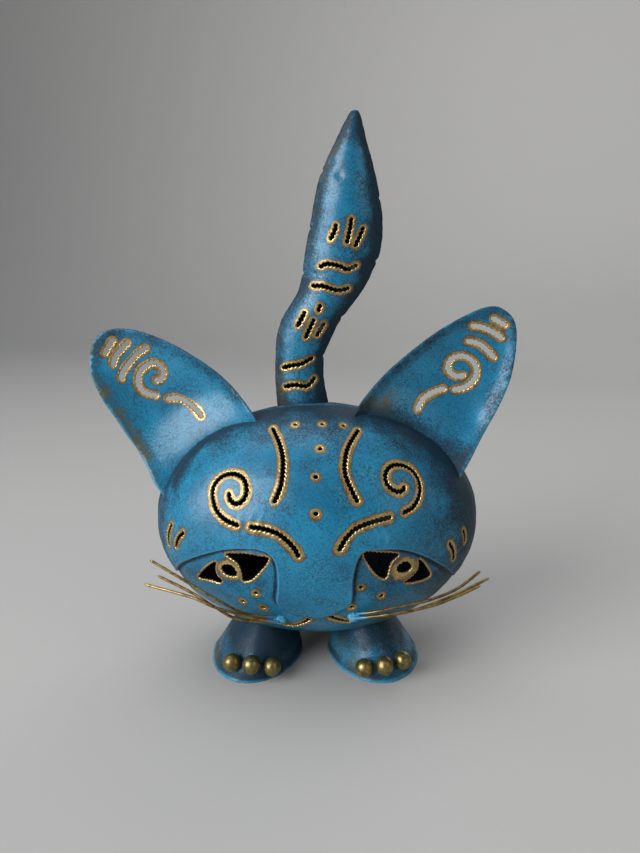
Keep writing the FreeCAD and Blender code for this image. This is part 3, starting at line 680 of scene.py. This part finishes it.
def turned(profile, centre, count=72):
    """Points and quads of a profile of (radius, height) turned about a vertical axis."""
    angles = np.linspace(0, 2 * math.pi, count, endpoint=False)
    x, y = centre
    rings = [[x + r * math.cos(a), y + r * math.sin(a), z] for r, z in profile for a in angles]
    faces = []
    for ring in range(len(profile) - 1):
        for i in range(count):
            j = (i + 1) % count
            faces.append([ring * count + i, ring * count + j, (ring + 1) * count + j, (ring + 1) * count + i])
    return np.array(rings), faces


# ---------------------------------------------------------------- ears and tail


def sheet_piece(name, node_name, flat, faces, outer, inner, slots, wear, grime, rust, dark_behind):
    """A thin pierced piece from its two skins and their paint."""
    gilt = gilding(flat, (slots, SHEET_GOLD_WIDTH)) if slots else gilding(flat)
    # A piece closed behind is near black on its inner skin, with no gold there.
    gilt_behind = gilt + (NO_GOLD if dark_behind else 0.35)
    two = np.concatenate
    blank = np.zeros(len(flat))
    make_piece(
        name, *thickened(outer, inner, faces), BLUE, [node_name], gilt=two([gilt, gilt_behind]),
        wear=two([wear, wear]), grime=two([grime, grime]), rust=two([rust, rust]),
        inner=two([blank, blank + (1.0 if dark_behind else 0.0)]),
    )  # fmt: skip


def make_ear(name, plan):
    """A dished, pierced ear whose outer edge curls towards the face."""
    upper = smooth_line(plan["upper"] + plan["outer"], 0.8)
    outline = upper[::-1]
    slots = [slot_loop(line, EAR_SLOT_WIDTH) for line in plan["slots"]]
    flat, faces = triangulate(outline, slots, [], 1.9)
    root, tip = (np.array(end, float) for end in plan["axis"])
    fold = (tip - root) / np.linalg.norm(tip - root)
    across = (flat - root) @ np.array([-fold[1], fold[0]])
    edge = distance_to(flat, upper)
    depth = EAR_BACK - EAR_DISH_RADIUS + np.sqrt(EAR_DISH_RADIUS**2 - across**2)
    depth -= 1.3 * (1 - soft(0, 6, edge)) - 0.35 * waves(flat, 14, 9) - 0.12 * waves(flat, 5, 3)
    rise, _ = lip(flat, slots)
    depth -= rise * 0.9
    from_body = (body_level(np.stack([flat[:, 0], depth, flat[:, 1]], 1)) - 1) * 68
    depth -= EAR_ROOT_CURL * (1 - soft(-4, 24, from_body))
    outer = np.stack([flat[:, 0], depth, flat[:, 1]], 1)
    level = body_level(outer)
    keep = (level[faces] > ROOT_LEVEL).any(1)
    faces = faces[keep]
    inner = outer - normals_of(outer, faces) * SHEET
    # Painted highlight: light blue along the lower, outer edge, partly paint rubbed off.
    wear = 0.5 * (1 - soft(0.2, 0.8, edge)) * (flat[:, 1] < np.abs(flat[:, 0]) * 0.7 + 5)
    rooted = 1 - soft(1, 12, from_body)
    # Painted shade darkens the right ear's root, on the side away from the light, and every ear's edges; the
    # left ear's root is painted lighter, a painted highlight.
    grime = (1.0 if name == "right_ear" else -0.3) * rooted + 0.6 * (1 - soft(1, 8, edge))
    if name == "right_ear":
        rust = 1.0 * np.exp(-(((flat[:, 0] - 30) / 7) ** 2) - ((flat[:, 1] - 62) / 6) ** 2)
    else:
        rust = 1.1 * (1 - soft(2, 7, edge)) * (1 - soft(-92, -70, flat[:, 0]))
        rust *= 1 - soft(70, 95, flat[:, 1])
    sheet_piece(name + "_sheet", name, flat, faces, outer, inner, slots, wear, grime, rust, False)


def make_tail():
    """The tail's two pressings: rounded down the middle, pinched together along the welded side seams."""
    left, right = smooth_line(TAIL_LEFT, 0.9), smooth_line(TAIL_RIGHT, 0.9)
    for side, edge, notches in ((1, left, (168, 142, 121)), (-1, right, (156, 127, 100, 81))):
        for height in notches:
            edge[:, 0] += side * 0.7 * np.exp(-(((edge[:, 1] - height) / 0.9) ** 2))
        edge[:, 0] += side * 0.22 * waves(edge, 3.2, 5 + side)
    outline = np.vstack([right, left[::-1][1:]])
    for facing, name in ((-1, "tail_front_half"), (1, "tail_back_half")):
        slots = [slot_loop(line, TAIL_SLOT_WIDTH) for line in TAIL_SLOTS] if facing < 0 else []
        flat, faces = triangulate(outline, slots, [], 1.7)
        start = np.interp(flat[:, 1], left[:, 1], left[:, 0])
        end = np.interp(flat[:, 1], right[:, 1], right[:, 0])
        half = np.maximum((end - start) / 2, 0.6)
        off = np.clip(np.abs(flat[:, 0] - (start + end) / 2) / np.maximum(half - 0.8, 0.4), 0, 1)
        bulge = np.minimum(half * 0.46, 7.2)
        rise = 0.4 + bulge * (1 - off**2) ** 0.85
        rise += (0.22 * waves(flat, 9, 12 + facing) + 0.1 * waves(flat, 4, 14)) * soft(0, 0.3, 1 - off)
        if facing < 0:
            burrs, gap = lip(flat, slots)
            rise += burrs * 0.9
            for dent_x, dent_z in ((6.6, 171.5), (10.4, 166)):
                away = ((flat[:, 0] - dent_x) / 1.6) ** 2 + ((flat[:, 1] - dent_z) / 1.4) ** 2
                rise -= 1.5 * np.exp(-away)
        else:
            gap = np.full(len(flat), NO_GOLD)
            faces = faces[:, ::-1]
        outer = np.stack([flat[:, 0], TAIL_BACK + facing * rise, flat[:, 1]], 1)
        inner = outer.copy()
        inner[:, 1] = TAIL_BACK + facing * np.maximum(rise - SHEET, 0.03)
        keep = (body_level(outer)[faces] > ROOT_LEVEL).any(1)
        if facing < 0:
            faces = faces[:, ::-1] if normals_of(outer, faces)[:, 1].mean() > 0 else faces
        elif normals_of(outer, faces)[:, 1].mean() < 0:
            faces = faces[:, ::-1]
        faces = faces[keep]
        wear = np.zeros(len(flat))
        # Painted shade: darker towards the pinched edges, at the root, at the tip and down the right side
        # away from the light; it is also darker just past the gold round the slots.
        grime = 1.0 * soft(0.5, 1.0, off) + 0.3 * np.exp(-(((gap - 2.5) / 1.5) ** 2))
        grime += 1.2 * (1 - soft(52, 70, flat[:, 1])) + 1.1 * soft(172, 190, flat[:, 1])
        grime += 0.5 * soft(0, 14, flat[:, 0] - (start + end) / 2)
        rust = 0.8 * np.exp(-(((flat[:, 1] - 62) / 9) ** 2) - ((flat[:, 0] + 18) / 7) ** 2)
        rust += 0.5 * np.exp(-(((flat[:, 1] - 178) / 12) ** 2)) * (flat[:, 0] < 14)
        sheet_piece(name + "_sheet", name, flat, faces, outer, inner, slots, wear, grime, rust, True)


# ---------------------------------------------------------------- paws, toes and whiskers


PAWS = {
    "front": {"half": (23.4, 0.75, 0.45), "reach": (37.5, 0.855, 0.53), "top": 30.0, "lean": 7.0,
              "spread": 30.0, "shift": -1.1, "back": 7.0, "turn": 7.0},
    "rear": {"half": (18.5, 0.86, 0.56), "reach": (28.0, 0.78, 0.46), "top": 50.0, "lean": 0.0,
             "spread": 22.5, "shift": 0.0, "back": 42.0, "turn": 3.0},
}  # fmt: skip


def tapered(sizes, share):
    """A size at a share of the height, from its value at the foot and the parts left half way and on top."""
    foot, half_way, top = sizes
    bend = 2 * (1 + top - 2 * half_way)
    return foot * (1 + (top - 1 - bend) * share + bend * share**2)


def make_paw(pair, side):
    """A domed paw, open underneath and behind, standing on its cut edge."""
    name = f"{pair}_{'left' if side < 0 else 'right'}_paw"
    plan = PAWS[pair]
    across, up = 96, 46
    share, turn = np.meshgrid(np.linspace(0, 1, up + 1), np.linspace(0, math.pi, across + 1), indexing="ij")
    share, turn = share.ravel(), turn.ravel()
    flare = 0.4 * (1 - np.minimum(1, share * plan["top"] / 1.6)) ** 2
    half, reach = tapered(plan["half"], share) + flare, tapered(plan["reach"], share) + flare
    middle = -side * plan["lean"] * share
    local = np.stack([middle - half * np.cos(turn), -reach * np.sin(turn), share * plan["top"]], 1)
    faces = []
    for j in range(up):
        for i in range(across):
            a = j * (across + 1) + i
            faces.append((a, a + 1, a + across + 2))
            faces.append((a, a + across + 2, a + across + 1))
    faces = np.array(faces)
    normal = normals_of(local, faces)
    local += normal * (0.4 * waves(local, 9, 20 + side) + 0.15 * waves(local, 4, 22))[:, None]
    inner = local - normal * SHEET
    for skin in (local, inner):
        skin[share == 0, 2] = 0.0
    both = []
    angle = math.radians(side * plan["turn"])
    for skin in (local, inner):
        x = skin[:, 0] * math.cos(angle) - skin[:, 1] * math.sin(angle)
        x = x + side * plan["spread"] + plan["shift"]
        y = skin[:, 0] * math.sin(angle) + skin[:, 1] * math.cos(angle) + plan["back"]
        both.append(np.stack([x, y, skin[:, 2] - CENTRE[2]], 1))
    outer, inner = both
    keep = (body_level(outer)[faces] > ROOT_LEVEL).any(1)
    faces = faces[keep]
    height = local[:, 2]
    # Painted highlight: light blue along the lit foot of the rim and the open cut edges, partly paint rubbed
    # off.
    wear = 0.75 * (1 - soft(0.2, 1.0, height)) + 0.5 * (1 - soft(0, 1.0, -local[:, 1]))
    # Painted shade: darker over the top, in the body's shadow, and in a low band behind the toes; the left
    # paw is darker still, most of all on its inner side.
    grime = 0.85 * soft(4, 19, height) + 0.6 * (1 - soft(3, 8, height)) * soft(0.8, 2, height)
    grime += 0.4 * (side < 0) * soft(0, 18, local[:, 0]) + 0.2 + 0.25 * (side < 0)
    rust = 0.8 * (side > 0) * np.exp(-(((local[:, 0] + 12) / 8) ** 2) - ((height - 8) / 6) ** 2)
    rust += 0.8 * (side < 0) * (1 - soft(-22, -12, local[:, 0]))
    two = np.concatenate
    blank = np.zeros(len(local))
    make_piece(
        name + "_sheet", *thickened(outer, inner, faces), BLUE, [name], gilt=np.full(2 * len(local), NO_GOLD),
        wear=two([wear, blank]), grime=two([grime, grime]), rust=two([rust, blank]),
        inner=two([blank, blank + 0.8]),
    )  # fmt: skip
    for toe in ("inner", "middle", "outer"):
        make_toe(f"{name}_{toe}_toe")


def ball(centre, radius, squash, seed, rows=26, columns=40):
    """A dented ball."""
    latitudes = np.linspace(0.02, math.pi - 0.02, rows)
    profile = [(max(0.01, radius * math.sin(a)), -radius * math.cos(a)) for a in latitudes]
    points, faces = turned(profile, (0, 0), columns)
    faces.append(list(range(columns))[::-1])
    faces.append([len(points) - columns + i for i in range(columns)])
    points = points * (1 + 0.035 * waves(points, radius * 0.8, seed))[:, None]
    return points * squash + centre, faces


def make_toe(name):
    low, high = box_mm(name)
    middle = (low + high) / 2 - CENTRE
    radius = (high[2] - low[2]) / 2
    points, faces = ball(middle, radius, (0.96, 0.96, 1.02), hash_of(name))
    make_piece(name + "_ball", points, faces, TOE_GOLD, [name], painted=np.zeros(len(points)))


def hash_of(name):
    """A small number that differs from name to name."""
    return sum(ord(letter) * (i + 1) for i, letter in enumerate(name)) % 97


def make_whisker(name, line):
    """A drawn wire: slightly uneven, its root under blue paint."""
    path = smooth_line(line, 0.7)
    count, around = len(path), 12
    heading = np.gradient(path, axis=0)
    heading /= np.linalg.norm(heading, axis=1)[:, None]
    side = np.cross(heading, (0, 0, 1.0))
    side /= np.linalg.norm(side, axis=1)[:, None]
    up = np.cross(side, heading)
    radius = WHISKER_RADIUS * (1 + 0.1 * waves(path, 3.5, hash_of(name)))
    radius[-2:] *= (0.85, 0.45)
    angles = np.linspace(0, 2 * math.pi, around, endpoint=False)
    rings = []
    for i in range(count):
        rings += [path[i] + radius[i] * (math.cos(a) * side[i] + math.sin(a) * up[i]) for a in angles]
    faces = []
    for i in range(count - 1):
        for j in range(around):
            k = (j + 1) % around
            faces.append([i * around + j, i * around + k, (i + 1) * around + k, (i + 1) * around + j])
    faces.append(list(range(around))[::-1])
    faces.append([(count - 1) * around + j for j in range(around)])
    along = np.repeat(np.arange(count) * 0.7, around)
    painted = 1 - soft(3.5, 7, along + np.tile(1.5 * np.sin(angles * 2), count))
    make_piece(name + "_wire", np.array(rings), faces, GOLD, [name], painted=painted)


def make_weld(name):
    """A bead of solder under blue paint."""
    low, high = box_mm(name)
    middle = (low + high) / 2 - CENTRE
    points, faces = ball(middle, WELD_RADIUS, (1.05, 0.9, 0.85), hash_of(name))
    points += (0.5 * waves(points, 2.2, 3))[:, None] * (points - middle) / WELD_RADIUS
    blank = np.zeros(len(points))
    make_piece(
        name + "_bead", points, faces, BLUE, [name], gilt=blank + NO_GOLD, wear=blank + 0.9, grime=blank,
        rust=blank, inner=blank,
    )  # fmt: skip


# ---------------------------------------------------------------- build

make_face()
make_back()
for ear, ear_plan in EARS.items():
    make_ear(ear, ear_plan)
make_tail()
for which_side in (-1, 1):
    make_paw("front", which_side)
    make_paw("rear", which_side)
for wire, wire_line in WHISKERS.items():
    make_whisker(wire, wire_line)
for weld in ("left_whisker_weld", "right_whisker_weld"):
    make_weld(weld)

# ---------------------------------------------------------------- stage, light and camera

# A round floor that bends up into a wall on every side, in metres.
FLAT_RADIUS = 1.2
BEND_RADIUS = 1.3
STAGE_SIDES = 96
turns = np.linspace(0, math.pi / 2, 24)[1:]
sweep = [(0.001, 0.0), (0.6, 0.0), (FLAT_RADIUS, 0.0)]
sweep += [(FLAT_RADIUS + BEND_RADIUS * math.sin(a), BEND_RADIUS - BEND_RADIUS * math.cos(a)) for a in turns]
sweep += [(FLAT_RADIUS + BEND_RADIUS, 2 * BEND_RADIUS)]
floor_points, floor_faces = turned(sweep, (0, 0), STAGE_SIDES)
floor_faces.append(list(range(STAGE_SIDES))[::-1])
floor_mesh = bpy.data.meshes.new("floor")
floor_mesh.from_pydata(floor_points.tolist(), [], floor_faces)
floor_mesh.polygons.foreach_set("use_smooth", np.ones(len(floor_faces), bool))
floor_mesh.materials.append(plain("floor", (0.45, 0.43, 0.41), 0.7))
floor = bpy.data.objects.new("floor", floor_mesh)
bpy.context.scene.collection.objects.link(floor)

world = bpy.data.worlds.new("room")
bpy.context.scene.world = world
world.use_nodes = True
world.node_tree.nodes["Background"].inputs[0].default_value = (0.72, 0.8, 0.88, 1)
world.node_tree.nodes["Background"].inputs[1].default_value = 0.5


def area_light(name, place, target, size, power, colour, spread=180):
    """A soft box that shines from place towards target, its light kept within spread degrees."""
    data = bpy.data.lights.new(name, "AREA")
    data.spread = math.radians(spread)
    data.shape = "RECTANGLE"
    data.size, data.size_y = size
    data.energy = power
    data.color = colour
    lamp = bpy.data.objects.new(name, data)
    bpy.context.scene.collection.objects.link(lamp)
    lamp.location = place
    lamp.rotation_euler = (Vector(target) - Vector(place)).to_track_quat("-Z", "Y").to_euler()


area_light("window", (-1.2, -0.95, 0.66), (0, 0, 0.12), (1.25, 1.25), 12.5, (0.93, 0.97, 1.0), 95)
area_light("room_fill", (0.9, -0.7, 0.6), (0, 0, 0.1), (0.8, 0.8), 0.8, (1.0, 0.96, 0.9), 120)
area_light("back_fill", (0.8, 1.1, 0.9), (0, 0, 0.1), (0.9, 0.9), 2.0, (0.97, 0.99, 1.0), 120)
area_light("wall_light", (0.3, 0.9, 1.3), (0.7, 2.4, 0.8), (0.9, 0.6), 9, (0.97, 0.99, 1.0), 150)
area_light("above", (-0.2, 0.1, 1.2), (0, 0, 0.1), (0.9, 0.9), 3.0, (0.95, 0.98, 1.0), 150)

CAMERA_LENS = 33.76
CAMERA_PITCH = 14
CAMERA_FROM_BODY = (1.5, -381.8, 142.7)
camera_data = bpy.data.cameras.new("camera")
camera_data.lens = CAMERA_LENS
camera = bpy.data.objects.new("camera", camera_data)
bpy.context.scene.collection.objects.link(camera)
camera.location = (CENTRE + CAMERA_FROM_BODY) / 1000
camera.rotation_euler = (math.radians(90 - CAMERA_PITCH), 0, 0)
bpy.context.scene.camera = camera
bpy.context.scene.view_settings.view_transform = "Standard"
